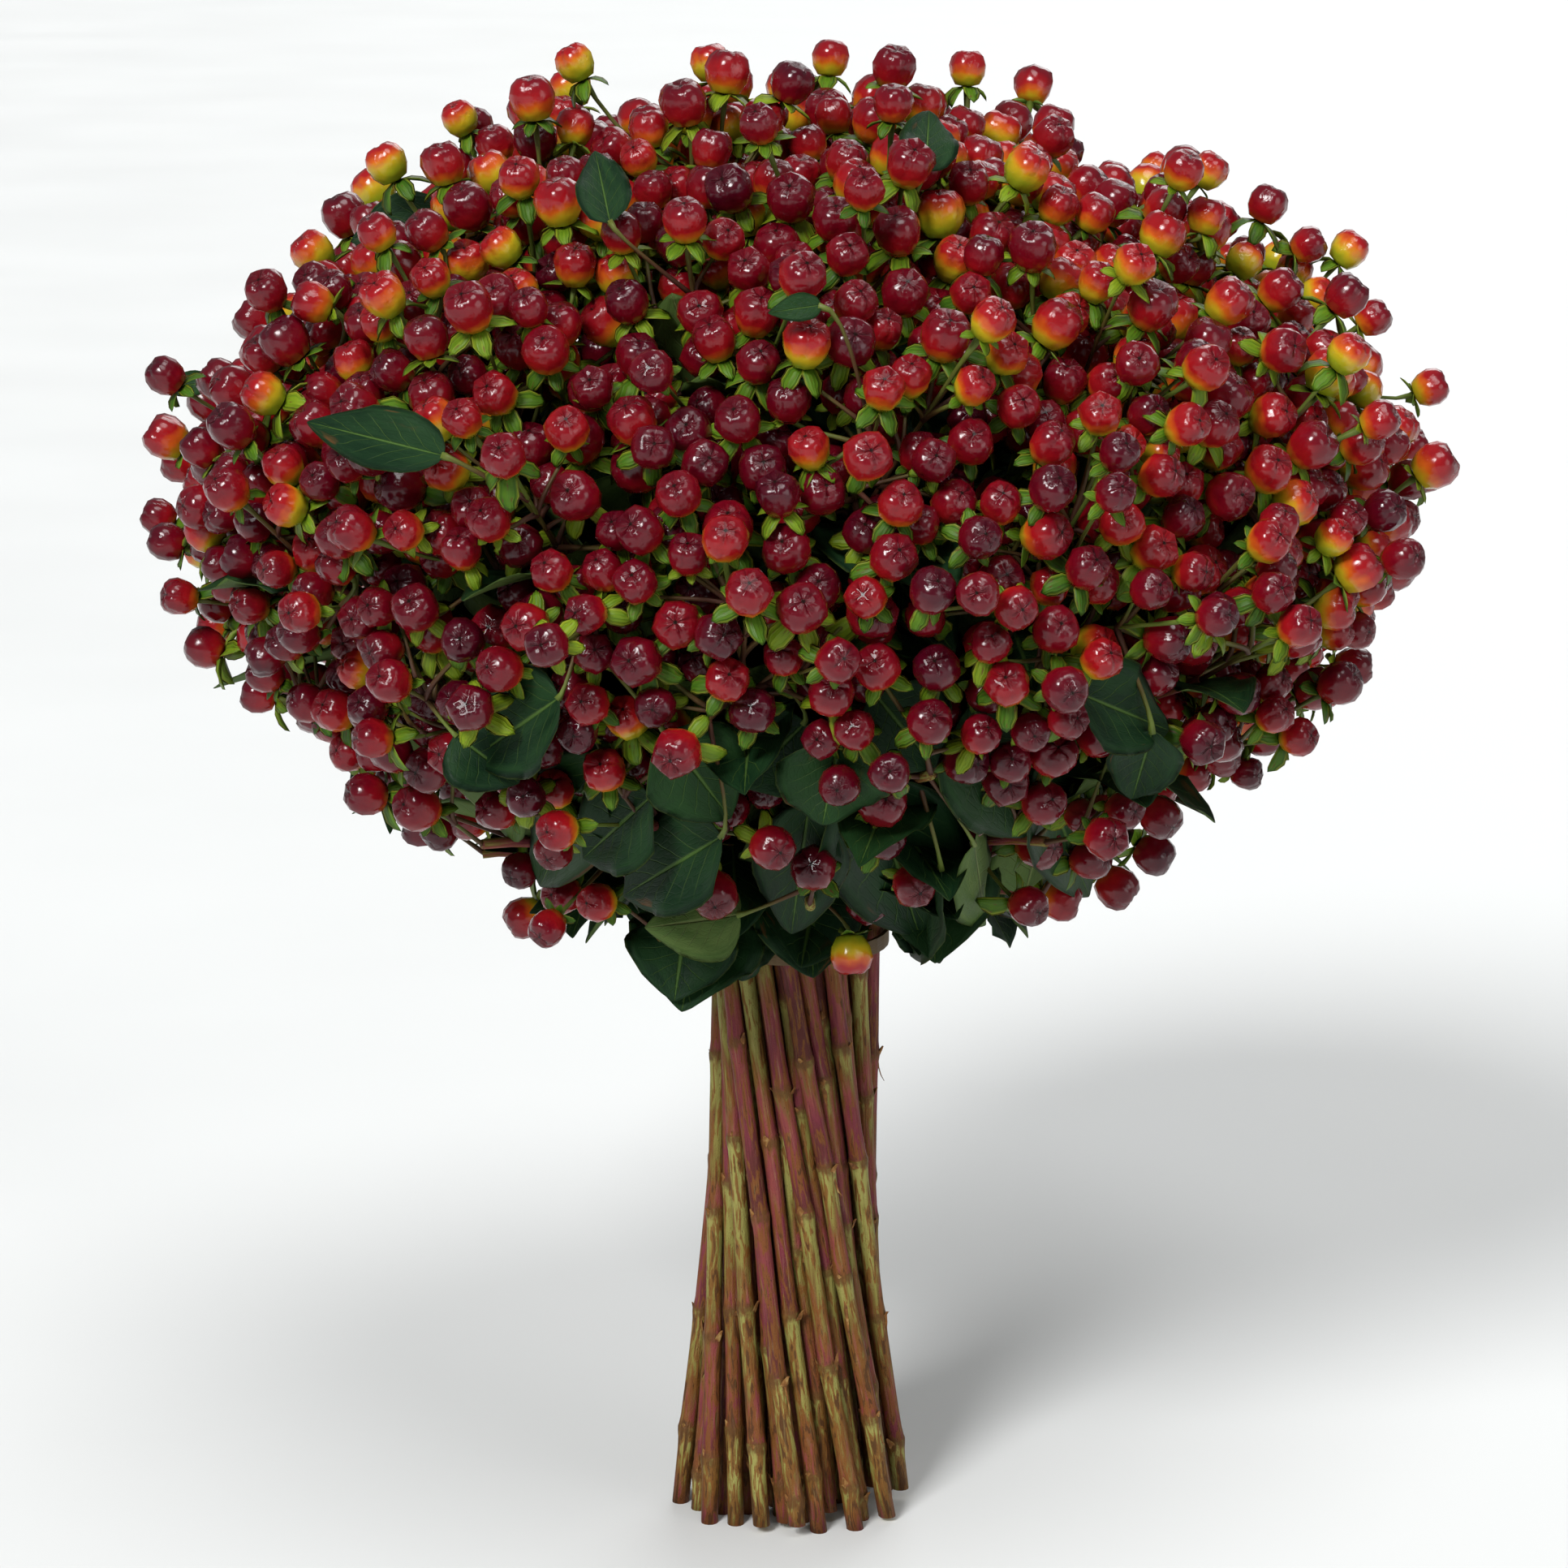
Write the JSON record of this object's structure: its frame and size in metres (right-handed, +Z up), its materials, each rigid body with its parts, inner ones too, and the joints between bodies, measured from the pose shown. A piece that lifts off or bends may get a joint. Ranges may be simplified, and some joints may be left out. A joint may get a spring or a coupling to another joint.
{
  "type": "hypericum berry stem bunch",
  "caption": "Spiral-tied bunch of leafy woody stems bearing glossy red berries, with a dense round head and a straight neck; it stands on its cut stem ends.",
  "frame": {"origin": "centre of the middle stem's cut end, on the surface that the bunch stands on", "axes": "+Z up along the bunch's axis, from the cut ends to the crown; -Y is the side that the picture shows, +X to its right"},
  "size_m": [0.4269, 0.4263, 0.494],
  "materials": {
    "bark": "satin young bark, red-brown with pale green stretches",
    "berry": "glossy deep red berry skin, yellow-green at the base of some",
    "sepal": "satin bright green sepals",
    "leaf": "satin dark green leaf",
    "tie": "matte natural rubber"
  },
  "bodies": {
    "root": {"elastic_tie": "tie", "leafy_stem_00": "bark", "leafy_stem_01": "bark", "leafy_stem_02": "bark", "leafy_stem_03": "bark", "leafy_stem_04": "bark", "leafy_stem_05": "bark", "leafy_stem_06": "bark", "leafy_stem_07": "bark", "leafy_stem_08": "bark", "leafy_stem_09": "bark", "leafy_stem_10": "bark", "leafy_stem_11": "bark", "leafy_stem_12": "bark", "leafy_stem_13": "bark", "leafy_stem_14": "bark", "leafy_stem_15": "bark", "leafy_stem_16": "bark", "leafy_stem_17": "bark", "leafy_stem_18": "bark", "leafy_stem_19": "bark", "leafy_stem_20": "bark", "leafy_stem_21": "bark", "leafy_stem_22": "bark", "leafy_stem_23": "bark", "leafy_stem_24": "bark", "leafy_stem_25": "bark", "leafy_stem_26": "bark", "leafy_stem_27": "bark", "leafy_stem_28": "bark", "leafy_stem_29": "bark", "leafy_stem_30": "bark", "leafy_stem_31": "bark", "leafy_stem_32": "bark", "leafy_stem_33": "bark", "leafy_stem_34": "bark", "leafy_stem_35": "bark", "leafy_stem_36": "bark", "leafy_stem_37": "bark", "leafy_stem_38": "bark", "leafy_stem_39": "bark", "leafy_stem_40": "bark", "leafy_stem_41": "bark", "leafy_stem_42": "bark", "leafy_stem_43": "bark", "leafy_stem_44": "bark", "leafy_stem_45": "bark", "leafy_stem_46": "bark", "leafy_stem_47": "bark", "leafy_stem_48": "bark", "leafy_stem_49": "bark", "leafy_stem_50": "bark", "leafy_stem_51": "bark", "leafy_stem_52": "bark", "leafy_stem_53": "bark", "leafy_stem_54": "bark", "leafy_stem_55": "bark", "leafy_stem_56": "bark", "leafy_stem_57": "bark", "leafy_stem_58": "bark"}
  },
  "joints": []
}
